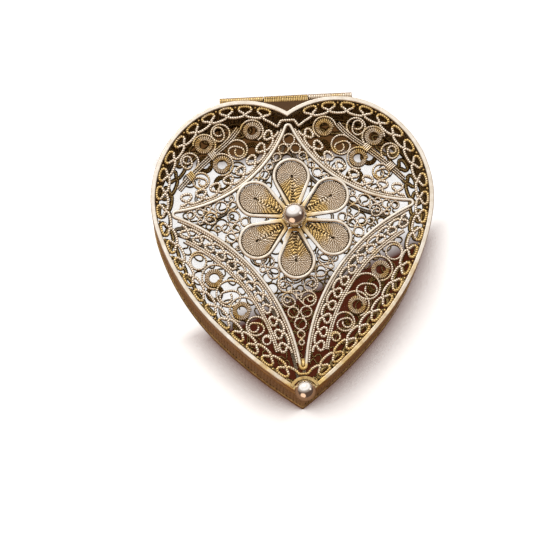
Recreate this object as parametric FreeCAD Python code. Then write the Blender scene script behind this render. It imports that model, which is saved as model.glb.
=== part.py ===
import FreeCAD, Part
import math
import os
from FreeCAD import Vector

# Heart-shaped trinket box in open wirework. Millimetres, +Z up, the heart's tip
# towards -Y, the hinge at +Y, and the two halves mirror images across X = 0.
# Plan positions below are measured from the crossing of the lid star's two
# diagonals; the last step moves everything so the box sits centred on the origin.

# ---- Heart outline: right half, walked from the tip to the cleft ----
TIP_Y = -31.4
TIP_HEADING = 34.7
FLANK = (78.4, 13.4)             # (radius, sweep in degrees)
HIP = (40.3, 27.9)
SHOULDER = (17.8, 64.3)
LOBE_RADIUS = 14.35              # its sweep runs on until it meets X = 0

# ---- Heights ----
RAIL_FOOT = 1.5
WALL_TOP = 8.6
RAIL_TOP = 9.8
PARTING_GAP = 0.1
LID_TOP = 12.0
RIM_WIDTH = 0.75

# ---- Wire ----
WIRE = 0.32                      # beaded wire, seen from above
FLAT_WIRE = 0.52                 # plain flat wire of the star and the petals
WIRE_TOP = LID_TOP - 0.2
WIRE_DEPTH = 0.7
FRAME_TOP = LID_TOP - 0.1
FRAME_DEPTH = 0.9
FLOOR_BOTTOM = 0.3

# ---- Looping border wire ----
LOOP_PITCH = 3.15
CROWN_CORNER = 0.45              # bend radius at the shoulders of the outer loops
CUP_CORNER = 0.33                # bend radius at the ends of the inner loops
CROWN_SHARE = 0.66               # width of an outer loop as a share of the pitch
CUP_GAP = 0.03                   # daylight between neighbouring inner loops
LOOP_LEAN = 150.0                # heading of the wire where it crosses the neck
LOOP_FLAT = 15.0                 # half sweep of each loop's flattened top
BORDER_INSET = 1.93              # outline to the middle of the border wire
BORDER_MARGINS = (2.3, 3.0)      # bare run at the tip and at the cleft

# ---- Star ----
STAR_TOP = (0.0, 14.1)
STAR_SIDE = (19.25, 0.1)
STAR_FOOT = (0.0, -26.2)
STAR_APEX_RADIUS = 0.5
UPPER_SIDE_RADIUS = 22.0
LOWER_SIDE_RADIUS = 31.5
ROW_OFFSET = 1.72                # star wire to the middle of a following row
UPPER_ROW_PITCH = 2.75
UPPER_ROW_MARGINS = (1.2, 0.8)   # bare run at each end of the star side
LOWER_ROW_PITCH = 2.5
LOWER_ROW_MARGINS = (1.5, 2.4)
BEADING_MARGIN = 0.6
EDGING_OFFSETS = (2.92, 3.26)
EDGING_MARGINS = (3.4, 3.2)

# ---- Flower ----
FLOWER = (0.0, -1.7)
PETALS = 6
PETAL_REACH = 7.2                # flower centre to the centre of a petal's head
PETAL_HEAD = 2.86
THROAT_REACH = 1.95
THROAT_HALF = 0.72
PETAL_EYE = 0.35
PETAL_FRAME_DEPTH = 0.65
PETAL_FILL_DEPTH = 0.4
BALL_RADIUS = 2.05
BALL_SEAT_RADIUS = 1.2
BOSS_RADIUS = 1.6
THUMB_BALL = (0.0, -30.6)
THUMB_BALL_RADIUS = 1.7
THUMB_SEAT_RADIUS = 1.0
STRAP_REACH = 2.3                # thumb ball's centre to the middle of its strap
STRAP_SWEEP = 130.0
STRAP_THICKNESS = 0.35

# ---- Coiled discs and scrolls, right half: (x, y) and (x, y, radius) ----
ROSETTE_RADIUS = 1.65
ROSETTE_EYE = 0.65
UPPER_ROSETTES = ((6.0, 13.8), (14.1, 11.75), (11.3, 8.2))
LOWER_ROSETTES = ((13.6, -11.0), (9.4, -16.7))
UPPER_SCROLLS = (
    (11.35, 13.7, 1.15), (11.4, 13.9, 0.6), (16.8, 9.1, 1.0), (16.9, 9.2, 0.5),
    (14.9, 5.65, 1.05), (14.8, 5.5, 0.5), (8.6, 10.6, 1.2), (8.7, 10.5, 0.6),
)
LOWER_SCROLLS = (
    (16.0, -8.1, 1.0), (11.3, -13.9, 1.5), (11.6, -14.1, 0.75),
    (7.25, -19.4, 1.15), (7.3, -19.6, 0.6), (5.6, -21.8, 0.5),
)
STAR_SCROLLS = (
    (16.85, -0.1, 0.5), (15.4, 0.15, 0.6), (15.35, -1.35, 0.35), (14.0, 0.75, 0.4),
    (13.55, -0.85, 0.85), (13.4, -0.9, 0.3), (12.55, -2.65, 0.45), (11.8, 0.95, 0.85),
    (9.85, -0.75, 0.85), (9.9, 1.15, 0.6), (10.0, 2.4, 0.3), (8.0, -1.7, 0.6),
    (11.15, -2.65, 0.6), (9.55, -2.75, 0.6), (10.5, -4.35, 0.7), (8.9, -4.6, 0.45),
    (9.35, -6.1, 0.3), (1.0, 10.45, 0.7), (2.15, 9.1, 0.55), (3.45, 7.55, 0.45),
    (4.35, 6.15, 0.65), (5.8, 5.4, 0.3), (4.5, -8.7, 0.75), (6.2, -8.5, 0.5),
    (5.55, -9.85, 0.4), (3.85, -10.6, 0.8), (2.35, -9.7, 0.6), (0.9, -10.85, 0.5),
    (1.95, -12.6, 1.1), (2.1, -12.4, 0.5), (1.55, -15.2, 1.05), (1.5, -15.4, 0.45),
    (1.05, -17.35, 0.75),
)
AXIS_LOOPS = (
    (0.0, 12.05, 0.8), (0.0, -14.15, 0.35), (0.0, -19.3, 0.8), (0.0, -21.05, 0.5),
    (0.0, -22.4, 0.35),
)
FLOOR_MIDDLE_LOOP = 1.6          # radius of the loop on the floor under the flower's axis
FLOOR_CENTRE_LOOPS = (           # (distance from that axis, turn in degrees, radius)
    (6.4, 0, 1.5), (6.4, 0, 0.75), (3.3, 0, 1.1), (6.2, 30, 0.85),
)

# ---- Sprays in the upper corners ----
STEM_START = (18.6, 4.3)
STEM_HEADING = 132.0
STEM_LEAN = (58.0, 10.0)         # (radius, sweep) of the stem's long lower reach
STEM_TIP = (-14.0, -18.0)
STEM_OFFSETS = (-0.36, 0.0, 0.36)
BINDING_SWEEPS = (3.0, 8.0)      # where along the lower reach the bindings sit
BINDING_SIZE = (1.3, 1.25)       # along and across the stem
BINDING_THICKNESS = 0.2

# ---- Hinge ----
BARREL_RADIUS = 0.55
BARREL_GAP = 0.05                # barrel to the widest point of the lobes
BARREL_LENGTH = 22.2
MIDDLE_KNUCKLE_HALF = BARREL_LENGTH / 6
KNUCKLE_GAP = 0.1
PIN_RADIUS = 0.25
PIN_CLEARANCE = 0.04
HINGE_Z = RAIL_TOP + PARTING_GAP / 2
HINGE_PLATE_HALF = 8.0
HINGE_PLATE_DEPTH = 1.8          # along Y, before the lobes trim its ends
HINGE_PLATE_THICKNESS = 0.8

# ---- Ribbed wall ----
RIB_PITCH = 0.66
WALL_THICKNESS = 0.2
RIB_SWEEP = 120.0
WALL_INSET = 0.36


# ---------------- Plane curves ----------------

def point_on(centre, radius, angle):
    """Point of a circle at an angle in degrees."""
    turn = math.radians(angle)
    return (centre[0] + radius * math.cos(turn), centre[1] + radius * math.sin(turn))


def walk(start, heading, steps):
    """Stations (point, heading) along a path of arcs and straight runs.

    A step is (radius, sweep): both positive turn left, both negative turn right.
    A step (None, length) runs straight on. Each step adds its middle and its end.
    """
    x, y = start
    stations = [((x, y), heading)]
    for radius, amount in steps:
        for _ in range(2):
            turn = math.radians(heading)
            if radius is None:
                x += amount / 2 * math.cos(turn)
                y += amount / 2 * math.sin(turn)
            else:
                centre = (x - radius * math.sin(turn), y + radius * math.cos(turn))
                heading += amount / 2
                turn = math.radians(heading)
                x = centre[0] + radius * math.sin(turn)
                y = centre[1] - radius * math.cos(turn)
            stations.append(((x, y), heading))
    return stations


def shifted(station, offset):
    """A station's point moved to its left by offset."""
    (x, y), heading = station
    turn = math.radians(heading)
    return (x - offset * math.sin(turn), y + offset * math.cos(turn))


def stay(point):
    """Placement that leaves a point where it is."""
    return point


def edge(first, middle, last):
    """Arc through three plan points, or a straight edge when they line up."""
    a, b, c = (Vector(p[0], p[1], 0) for p in (first, middle, last))
    bend = (b - a).cross(c - b).Length
    if bend < 1e-6:
        return Part.LineSegment(a, c).toShape()
    return Part.Arc(a, b, c).toShape()


def edges_through(points):
    """Edges through start, middle, end, middle, end and so on."""
    return [edge(*points[i:i + 3]) for i in range(0, len(points) - 2, 2)]


def mirror(points):
    """The same plan points on the other side of X = 0."""
    return [(-x, y) for x, y in points]


def prism(face, bottom, top):
    """Solid that stands on a plan face between two heights."""
    solid = face.extrude(Vector(0, 0, top - bottom))
    solid.translate(Vector(0, 0, bottom))
    return solid


def strand(stations, width, bottom, top, place=stay):
    """Wire of rectangular section along open stations."""
    left = [place(shifted(s, width / 2)) for s in stations]
    right = [place(shifted(s, -width / 2)) for s in stations]
    caps = [Part.LineSegment(Vector(*left[-1], 0), Vector(*right[-1], 0)).toShape(),
            Part.LineSegment(Vector(*right[0], 0), Vector(*left[0], 0)).toShape()]
    outline = edges_through(left) + [caps[0]] + edges_through(right[::-1]) + [caps[1]]
    return prism(Part.Face(Part.Wire(outline)), bottom, top)


def loop_face(points):
    """Face inside a closed run of arcs."""
    return Part.Face(Part.Wire(edges_through(points)))


def disc(centre, radius, bottom, top):
    """Upright cylinder."""
    return Part.makeCylinder(radius, top - bottom, Vector(centre[0], centre[1], bottom))


def ring(centre, radius, width, bottom, top):
    """Round wire loop of rectangular section."""
    outer = disc(centre, radius + width / 2, bottom, top)
    return outer.cut(disc(centre, radius - width / 2, bottom, top))


def left_of(solids):
    """Mirror images of right-hand solids."""
    return [s.mirror(Vector(0, 0, 0), Vector(1, 0, 0)) for s in solids]


def both_sides(solids):
    """Solids of the right half and their mirror images."""
    return solids + left_of(solids)


# ---------------- Heart ----------------

def heart_circles():
    """Circles of the right half outline: (centre, radius, first angle, last angle)."""
    circles = []
    start = (0.0, TIP_Y)
    heading = TIP_HEADING
    for radius, sweep in (FLANK, HIP, SHOULDER, (LOBE_RADIUS, None)):
        centre = point_on(start, radius, heading + 90)
        first = heading - 90
        if sweep is None:
            last = math.degrees(math.acos(-centre[0] / radius))
        else:
            last = first + sweep
        circles.append((centre, radius, first, last))
        start = point_on(centre, radius, last)
        heading = last + 90
    return circles


def heart_half(inset):
    """Circles of the half outline moved inwards and trimmed at X = 0."""
    moved = []
    for centre, radius, first, last in heart_circles():
        moved.append([centre, radius - inset, first, last])
    tip, lobe = moved[0], moved[-1]
    tip[2] = -math.degrees(math.acos(-tip[0][0] / tip[1]))
    lobe[3] = math.degrees(math.acos(-lobe[0][0] / lobe[1]))
    return moved


def heart_face(inset):
    """Plan face inside the outline moved inwards."""
    half = []
    for centre, radius, first, last in heart_half(inset):
        spots = [point_on(centre, radius, a) for a in (first, (first + last) / 2, last)]
        half += spots if not half else spots[1:]
    return loop_face(half + mirror(half[::-1])[1:])


def heart_band(outer_inset, inner_inset, bottom, top):
    """Upright band that follows the outline."""
    return prism(heart_face(outer_inset).cut(heart_face(inner_inset)), bottom, top)


def heart_length(inset):
    """Length of the half outline moved inwards."""
    return sum(r * math.radians(last - first) for _, r, first, last in heart_half(inset))


def along_heart(inset):
    """Placement of (run, inward offset) points along the right half outline."""
    circles = heart_half(inset)

    def place(point):
        run = point[0]
        for circle in circles:
            centre, radius, first, last = circle
            length = radius * math.radians(last - first)
            if run <= length or circle is circles[-1]:
                return point_on(centre, radius - point[1], first + math.degrees(run / radius))
            run -= length
    return place


# ---------------- Star ----------------

def side_circle(first, second, radius):
    """Centre of the concave side between two apex centres; it lies outside the star."""
    reach = radius + STAR_APEX_RADIUS
    half = math.dist(first, second) / 2
    rise = math.sqrt(reach ** 2 - half ** 2)
    middle = ((first[0] + second[0]) / 2, (first[1] + second[1]) / 2)
    across = ((second[1] - first[1]) / (2 * half), -(second[0] - first[0]) / (2 * half))
    return (middle[0] - rise * across[0], middle[1] - rise * across[1])


def bearing(origin, target):
    """Angle of the line from origin to target, in degrees."""
    return math.degrees(math.atan2(target[1] - origin[1], target[0] - origin[0]))


def star_sides():
    """The two right-hand sides: (centre, radius, first angle, last angle)."""
    sides = []
    for first, last, radius in ((STAR_TOP, STAR_SIDE, UPPER_SIDE_RADIUS),
                                (STAR_SIDE, STAR_FOOT, LOWER_SIDE_RADIUS)):
        centre = side_circle(first, last, radius)
        sides.append((centre, radius, bearing(centre, first) % 360, bearing(centre, last) % 360))
    return sides


def star_face(inset):
    """Plan face inside the star wire's centreline moved inwards."""
    apex = STAR_APEX_RADIUS - inset
    upper, lower = star_sides()
    half = [
        (STAR_TOP[0], STAR_TOP[1] + apex),
        point_on(STAR_TOP, apex, (90 + bearing(STAR_TOP, upper[0])) / 2),
    ]
    for centre, radius, first, last in (upper, lower):
        for angle in (first, (first + last) / 2, last):
            half.append(point_on(centre, radius + inset, angle))
        if centre is upper[0]:
            half.append((STAR_SIDE[0] + apex, STAR_SIDE[1]))
    half += [
        point_on(STAR_FOOT, apex, (bearing(STAR_FOOT, lower[0]) - 90) / 2),
        (STAR_FOOT[0], STAR_FOOT[1] - apex),
    ]
    return loop_face(half + mirror(half[::-1])[1:])


def along_side(side):
    """Placement of (run from the first apex, offset outwards from the star) points."""
    centre, radius, first, last = side
    step = 1 if last > first else -1

    def place(point):
        angle = first + step * math.degrees(point[0] / radius)
        return point_on(centre, radius - point[1], angle)
    return place


def side_length(side):
    """Length of one star side."""
    return side[1] * math.radians(abs(side[3] - side[2]))


# ---------------- Looping wire ----------------

def looping_steps(pitch, count):
    """Steps of a looping wire that starts and ends in the middle of an inner loop."""
    flat = math.sin(math.radians(LOOP_FLAT))
    lean = math.sin(math.radians(LOOP_LEAN))
    crown = CROWN_SHARE * pitch / 2 - CROWN_CORNER * (1 - flat)
    cup = (pitch - WIRE - CUP_GAP) / 2 - CUP_CORNER * (1 - flat)
    corners = (CROWN_CORNER + CUP_CORNER) * (lean - flat)
    neck = (crown + cup + corners - pitch / 2) / -math.cos(math.radians(LOOP_LEAN))
    bend = LOOP_LEAN - LOOP_FLAT
    rise = [(CUP_CORNER, bend), (None, neck), (-CROWN_CORNER, -bend)]
    fall = [(-CROWN_CORNER, -bend), (None, neck), (CUP_CORNER, bend)]
    steps = [(cup / flat, LOOP_FLAT)]
    for number in range(count):
        steps += rise + [(-crown / flat, -2 * LOOP_FLAT)] + fall
        last = number == count - 1
        steps.append((cup / flat, LOOP_FLAT if last else 2 * LOOP_FLAT))
    return steps


def looping_wire(place, length, margins, offset, pitch, bottom, outwards):
    """Looping wire fitted between two margins of a guide curve.

    offset is the guide to the wire's middle, and outwards is the side (+1 or -1)
    its narrower loops point to.
    """
    run = length - sum(margins)
    count = round(run / pitch)
    stations = walk((0.0, 0.0), 0.0, looping_steps(run / count, count))
    heights = [p[1] for p, _ in stations]
    middle = (max(heights) + min(heights)) / 2

    def on_guide(point):
        return place((margins[0] + point[0], offset + outwards * (point[1] - middle)))
    return strand(stations, WIRE, bottom, bottom + WIRE_DEPTH, on_guide)


# ---------------- Wirework shared by lid and floor ----------------

def border_wire(bottom):
    """Looping wire inside the rim, one run on each side of the heart."""
    place = along_heart(BORDER_INSET)
    run = heart_length(BORDER_INSET)
    wire = looping_wire(place, run, BORDER_MARGINS, 0.0, LOOP_PITCH, bottom, -1)
    return both_sides([wire])


def star_wire(bottom, top):
    """Flat wire of the star."""
    return [prism(star_face(-FLAT_WIRE / 2).cut(star_face(FLAT_WIRE / 2)), bottom, top)]


def scroll_rings(places, bottom):
    """Wire loops of the right half and the left."""
    rings = [ring((x, y), r, WIRE, bottom, bottom + WIRE_DEPTH) for x, y, r in places]
    return both_sides(rings)


def axis_rings(bottom):
    """Wire loops that sit on the heart's own axis."""
    return [ring((x, y), r, WIRE, bottom, bottom + WIRE_DEPTH) for x, y, r in AXIS_LOOPS]


def floor_centre_rings(bottom):
    """Wire loops that fill the floor's star where the flower hides it."""
    rings = [ring(FLOWER, FLOOR_MIDDLE_LOOP, WIRE, bottom, bottom + WIRE_DEPTH)]
    for reach, turn, radius in FLOOR_CENTRE_LOOPS:
        for number in range(PETALS):
            angle = math.radians(90 + turn + number * 360 / PETALS)
            place = (FLOWER[0] + reach * math.cos(angle), FLOWER[1] + reach * math.sin(angle))
            rings.append(ring(place, radius, WIRE, bottom, bottom + WIRE_DEPTH))
    return rings


def rosettes(places, bottom):
    """Coiled discs of the right half and the left."""
    width = ROSETTE_RADIUS - ROSETTE_EYE
    middle = (ROSETTE_RADIUS + ROSETTE_EYE) / 2
    discs = [ring(place, middle, width, bottom, bottom + WIRE_DEPTH) for place in places]
    return both_sides(discs)


# ---------------- Lid ----------------

WIRE_BOTTOM = WIRE_TOP - WIRE_DEPTH


def lid_rim():
    """Polished band of the lid."""
    return [heart_band(0.0, RIM_WIDTH, RAIL_TOP + PARTING_GAP, LID_TOP)]


def star_beading():
    """Beaded wire against the outside of each star side."""
    wires = []
    offset = (FLAT_WIRE + WIRE) / 2
    for side in star_sides():
        length = side_length(side) - 2 * BEADING_MARGIN
        stations = walk((BEADING_MARGIN, offset), 0.0, ((None, length),))
        wires.append(strand(stations, WIRE, WIRE_BOTTOM, WIRE_TOP, along_side(side)))
    return both_sides(wires)


def star_row(side, margins, pitch):
    """Looping wire that follows one star side and its mirror image."""
    place = along_side(side)
    row = looping_wire(place, side_length(side), margins, ROW_OFFSET, pitch, WIRE_BOTTOM, 1)
    return both_sides([row])


def lower_edging():
    """Double line beyond the lower rows."""
    side = star_sides()[1]
    length = side_length(side) - sum(EDGING_MARGINS)
    wires = []
    for offset in EDGING_OFFSETS:
        stations = walk((EDGING_MARGINS[0], offset), 0.0, ((None, length),))
        wires.append(strand(stations, WIRE, WIRE_BOTTOM, WIRE_TOP, along_side(side)))
    return both_sides(wires)


def spray_stems():
    """Bundle of parallel wires in each upper corner."""
    spine = walk(STEM_START, STEM_HEADING, (STEM_LEAN, STEM_TIP))
    wires = []
    for offset in STEM_OFFSETS:
        stations = [(shifted(s, offset), s[1]) for s in spine]
        wires.append(strand(stations, WIRE, WIRE_BOTTOM, WIRE_TOP))
    return both_sides(wires)


def spray_bindings():
    """Short wrapped collars laid over the stems."""
    long, wide = BINDING_SIZE
    collars = []
    for sweep in BINDING_SWEEPS:
        (x, y), heading = walk(STEM_START, STEM_HEADING, ((STEM_LEAN[0], sweep),))[-1]
        collar = Part.makeBox(long, wide, BINDING_THICKNESS,
                              Vector(-long / 2, -wide / 2, WIRE_TOP))
        collar.rotate(Vector(0, 0, 0), Vector(0, 0, 1), heading)
        collar.translate(Vector(x, y, 0))
        collars.append(collar)
    return both_sides(collars)


def petal_loop(inset):
    """Teardrop outline moved inwards; the petal points along +X from the flower."""
    head = PETAL_HEAD - inset
    half = THROAT_HALF - inset
    throat = THROAT_REACH + inset
    reach = PETAL_REACH - throat
    lean = math.asin(head / math.hypot(half, reach)) - math.atan2(half, reach)
    side = math.sqrt(half ** 2 + reach ** 2 - head ** 2)
    steps = ((None, side), (head, 180 + 2 * math.degrees(lean)), (None, side))
    stations = walk((throat, -half), -math.degrees(lean), steps)
    points = [p for p, _ in stations]
    return points + [(throat, 0.0), points[0]]


def around_flower(solid):
    """One copy of a solid for each petal, the first pointing along +Y."""
    copies = []
    for number in range(PETALS):
        copy = solid.copy()
        copy.rotate(Vector(0, 0, 0), Vector(0, 0, 1), 90 + number * 360 / PETALS)
        copy.translate(Vector(FLOWER[0], FLOWER[1], 0))
        copies.append(copy)
    return copies


def petal_frames():
    """Flat-wire outlines of the petals, resting on the star."""
    face = loop_face(petal_loop(-FLAT_WIRE / 2)).cut(loop_face(petal_loop(FLAT_WIRE / 2)))
    return around_flower(prism(face, FRAME_TOP, FRAME_TOP + PETAL_FRAME_DEPTH))


def petal_coils():
    """Coiled fillings of the petals, each with an open eye."""
    top = FRAME_TOP + PETAL_FILL_DEPTH
    fill = prism(loop_face(petal_loop(FLAT_WIRE / 2)), FRAME_TOP, top)
    return around_flower(fill.cut(disc((PETAL_REACH, 0), PETAL_EYE, FRAME_TOP, top)))


def seated_ball(centre, radius, seat_radius, seat_z):
    """Ball with a small flat underneath, standing on that flat."""
    rise = math.sqrt(radius ** 2 - seat_radius ** 2)
    ball = Part.makeSphere(radius, Vector(centre[0], centre[1], seat_z + rise))
    below = Part.makeBox(2 * radius, 2 * radius, radius,
                         Vector(centre[0] - radius, centre[1] - radius, seat_z - radius))
    return [ball.cut(below)]


BOSS_TOP = FRAME_TOP + PETAL_FRAME_DEPTH


def flower_boss():
    """Small seat between the petals' throats."""
    return [disc(FLOWER, BOSS_RADIUS, FRAME_TOP, BOSS_TOP)]


def thumb_strap():
    """Bent strip behind the thumb ball."""
    first = 90 - STRAP_SWEEP / 2
    start = point_on(THUMB_BALL, STRAP_REACH, first)
    stations = walk(start, first + 90, ((STRAP_REACH, STRAP_SWEEP),))
    return [strand(stations, FLAT_WIRE, LID_TOP, LID_TOP + STRAP_THICKNESS)]


# ---------------- Base ----------------

def base_wall():
    """Ribbed strip between the rails, one run on each side of the heart."""
    length = heart_length(WALL_INSET)
    count = round(length / RIB_PITCH)
    pitch = length / count
    radius = pitch / 4 / math.sin(math.radians(RIB_SWEEP / 2))
    steps = []
    for _ in range(count):
        steps += [(radius, RIB_SWEEP), (-radius, -RIB_SWEEP)]
    stations = walk((0.0, 0.0), -RIB_SWEEP / 2, steps)
    place = along_heart(WALL_INSET)
    wall = strand(stations, WALL_THICKNESS, RAIL_FOOT, WALL_TOP, place)
    return both_sides([wall])


# ---------------- Hinge ----------------

def hinge_y():
    """Hinge axis, just behind the heart's widest lobe."""
    centre, radius, _, _ = heart_circles()[-1]
    return centre[1] + radius + BARREL_GAP + BARREL_RADIUS


def plate_edge():
    """Back edge of both hinge plates."""
    return hinge_y() - BARREL_RADIUS - 2 * BARREL_GAP


def plate_half():
    """Half width of the cleft where the lobes come up to the plate's back edge."""
    centre, radius, _, _ = heart_circles()[-1]
    return centre[0] - math.sqrt(radius ** 2 - (plate_edge() - centre[1]) ** 2)


def hinge_plate(bottom):
    """Plate that bridges the cleft between the lobes and carries a knuckle."""
    front = plate_edge() - HINGE_PLATE_DEPTH
    blank = Part.makeBox(2 * HINGE_PLATE_HALF, HINGE_PLATE_DEPTH, HINGE_PLATE_THICKNESS,
                         Vector(-HINGE_PLATE_HALF, front, bottom))
    heart = prism(heart_face(0.0), bottom, bottom + HINGE_PLATE_THICKNESS)
    return blank.cut(heart).Solids


def barrel(first, last, radius):
    """Cylinder on the hinge axis between two X positions."""
    return Part.makeCylinder(radius, last - first, Vector(first, hinge_y(), HINGE_Z),
                             Vector(1, 0, 0))


def knuckle(first, last, bore, web_last, web_bottom, web_top):
    """Hinge barrel with the web that joins it to its plate."""
    web = Part.makeBox(web_last - first, BARREL_RADIUS + 2 * BARREL_GAP, web_top - web_bottom,
                       Vector(first, plate_edge(), web_bottom))
    tube = barrel(first, last, BARREL_RADIUS).fuse(web).removeSplitter()
    return [tube.cut(barrel(first - 1, last + 1, bore))]


def outer_knuckle():
    """Right-hand knuckle of the base."""
    first = MIDDLE_KNUCKLE_HALF + KNUCKLE_GAP
    bottom = HINGE_Z - BARREL_RADIUS
    return knuckle(first, BARREL_LENGTH / 2, PIN_RADIUS, plate_half(), bottom, RAIL_TOP)


def middle_knuckle(web_bottom):
    """Knuckle of the lid, free to turn on the pin."""
    bore = PIN_RADIUS + PIN_CLEARANCE
    web_top = web_bottom + HINGE_PLATE_THICKNESS
    return knuckle(-MIDDLE_KNUCKLE_HALF, MIDDLE_KNUCKLE_HALF, bore, MIDDLE_KNUCKLE_HALF,
                   web_bottom, web_top)


def floor_copies(solids):
    """The same wires as on the lid, laid on the floor."""
    copies = [solid.copy() for solid in solids]
    for solid in copies:
        solid.translate(Vector(0, 0, FLOOR_BOTTOM - WIRE_BOTTOM))
    return copies


def nodes():
    """Every piece by name."""
    upper_side, lower_side = star_sides()
    upper_row = star_row(upper_side, UPPER_ROW_MARGINS, UPPER_ROW_PITCH)
    lower_row = star_row(lower_side, LOWER_ROW_MARGINS, LOWER_ROW_PITCH)
    star_scrolls = scroll_rings(STAR_SCROLLS, WIRE_BOTTOM) + axis_rings(WIRE_BOTTOM)
    floor = FLOOR_BOTTOM
    lid_bottom = RAIL_TOP + PARTING_GAP
    return {
        "base_bottom_rail": [heart_band(0.0, RIM_WIDTH, 0.0, RAIL_FOOT)],
        "base_wall": base_wall(),
        "base_top_rail": [heart_band(0.0, RIM_WIDTH, WALL_TOP, RAIL_TOP)],
        "base_floor_border": border_wire(floor),
        "base_floor_star": star_wire(floor, floor + FRAME_DEPTH),
        "base_floor_meanders": floor_copies(upper_row + lower_row),
        "base_floor_scrolls": scroll_rings(UPPER_SCROLLS + LOWER_SCROLLS, floor),
        "base_floor_star_scrolls": floor_copies(star_scrolls) + floor_centre_rings(floor),
        "base_floor_rosettes": rosettes(UPPER_ROSETTES + LOWER_ROSETTES, floor),
        "base_hinge_plate": hinge_plate(RAIL_TOP - HINGE_PLATE_THICKNESS),
        "base_hinge_knuckle_right": outer_knuckle(),
        "base_hinge_knuckle_left": left_of(outer_knuckle()),
        "hinge_pin": [barrel(-BARREL_LENGTH / 2, BARREL_LENGTH / 2, PIN_RADIUS)],
        "lid_rim": lid_rim(),
        "lid_border": border_wire(WIRE_BOTTOM),
        "lid_star_frame": star_wire(FRAME_TOP - FRAME_DEPTH, FRAME_TOP),
        "lid_star_beading": star_beading(),
        "lid_upper_meander": upper_row,
        "lid_lower_meander": lower_row,
        "lid_lower_edging": lower_edging(),
        "lid_spray_stems": spray_stems(),
        "lid_spray_bindings": spray_bindings(),
        "lid_upper_scrolls": scroll_rings(UPPER_SCROLLS, WIRE_BOTTOM),
        "lid_lower_scrolls": scroll_rings(LOWER_SCROLLS, WIRE_BOTTOM),
        "lid_rosettes": rosettes(UPPER_ROSETTES + LOWER_ROSETTES, WIRE_BOTTOM),
        "lid_star_scrolls": star_scrolls,
        "petal_frames": petal_frames(),
        "petal_coils": petal_coils(),
        "flower_boss": flower_boss(),
        "flower_ball": seated_ball(FLOWER, BALL_RADIUS, BALL_SEAT_RADIUS, BOSS_TOP),
        "thumb_ball": seated_ball(THUMB_BALL, THUMB_BALL_RADIUS, THUMB_SEAT_RADIUS, LID_TOP),
        "thumb_ball_strap": thumb_strap(),
        "lid_hinge_plate": hinge_plate(lid_bottom),
        "lid_hinge_knuckle": middle_knuckle(lid_bottom),
    }


def write_parts():
    """Write each piece in the box's own frame."""
    os.makedirs("parts", exist_ok=True)
    back = hinge_y() + BARREL_RADIUS
    front = THUMB_BALL[1] - THUMB_BALL_RADIUS
    centring = Vector(0, -(back + front) / 2, 0)
    for name, solids in nodes().items():
        shape = solids[0] if len(solids) == 1 else Part.makeCompound(solids)
        shape.translate(centring)
        shape.exportStep("parts/" + name + ".step")
        print(name, len(shape.Solids), round(shape.Volume, 2), shape.isValid(), shape.BoundBox)


write_parts()
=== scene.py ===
"""Looks of the heart-shaped trinket box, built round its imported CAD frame.

The frame's flat strips and plates show where every wire runs. Beaded wires, coils and ridges
are swept along them here, and every piece gets its metal. Lengths are in mm, except where a
comment says metres.
"""

import math
from collections import Counter

import bpy
import numpy as np
from mathutils import Matrix, Vector


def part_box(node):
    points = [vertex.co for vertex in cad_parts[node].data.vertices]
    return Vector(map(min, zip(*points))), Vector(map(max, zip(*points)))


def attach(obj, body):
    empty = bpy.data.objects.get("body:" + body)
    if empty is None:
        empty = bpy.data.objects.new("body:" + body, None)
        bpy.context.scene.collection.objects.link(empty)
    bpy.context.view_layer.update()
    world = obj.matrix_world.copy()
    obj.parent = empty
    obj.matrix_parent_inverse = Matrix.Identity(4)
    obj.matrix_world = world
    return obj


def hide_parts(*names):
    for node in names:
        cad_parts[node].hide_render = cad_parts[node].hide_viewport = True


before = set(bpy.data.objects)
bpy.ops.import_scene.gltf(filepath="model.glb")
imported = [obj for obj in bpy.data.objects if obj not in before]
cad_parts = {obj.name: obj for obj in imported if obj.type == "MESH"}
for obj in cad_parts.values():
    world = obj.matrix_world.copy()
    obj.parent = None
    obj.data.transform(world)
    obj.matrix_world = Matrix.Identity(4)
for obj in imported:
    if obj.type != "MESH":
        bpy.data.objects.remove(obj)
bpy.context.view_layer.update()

MM = 0.001  # metres


# ---------------------------------------------------------------- reading the frame

LEVEL_SLACK = 0.01  # how far below a node's top a point still counts as on it
SAME_CENTRE = 0.02  # how far apart the centres of a ring's two circles may be
SHARP_TURN = 70  # degrees: an outline turns more than this only at a wire's ends
SIDE_STEP = 0.06  # from point to point along a wire's two sides


def mesh_arrays(node):
    """Welded vertices of a CAD node, and its faces as lists of vertex numbers."""
    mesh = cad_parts[node].data
    points = np.empty(len(mesh.vertices) * 3)
    mesh.vertices.foreach_get("co", points)
    points = points.reshape(-1, 3) / MM
    _, first, welded = np.unique(np.round(points, 4), axis=0, return_index=True,
                                 return_inverse=True)
    corners = np.empty(len(mesh.loops), int)
    mesh.loops.foreach_get("vertex_index", corners)
    starts = np.empty(len(mesh.polygons), int)
    mesh.polygons.foreach_get("loop_start", starts)
    return points[first], np.split(welded.ravel()[corners], starts[1:])


def boundary_edges(faces):
    """Edges that belong to only one of the faces."""
    edges = (pair for face in faces for pair in zip(face, np.roll(face, -1)))
    count = Counter((min(pair), max(pair)) for pair in edges)
    return [edge for edge, times in count.items() if times == 1]


def top_outlines(node):
    """Closed outlines (x, y) of the faces on the node's highest level."""
    points, faces = mesh_arrays(node)
    level = points[:, 2].max() - LEVEL_SLACK
    near = {}
    for a, b in boundary_edges([face for face in faces if (points[face, 2] > level).all()]):
        near.setdefault(a, []).append(b)
        near.setdefault(b, []).append(a)
    outlines = []
    while near:
        chain = [min(near)]
        while onward := [n for n in near.pop(chain[-1]) if n in near]:
            chain.append(onward[0])
        outlines.append(points[chain, :2])
    return outlines


def heights(node):
    """Lowest and highest level of a node."""
    low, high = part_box(node)
    return low.z / MM, high.z / MM


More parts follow.
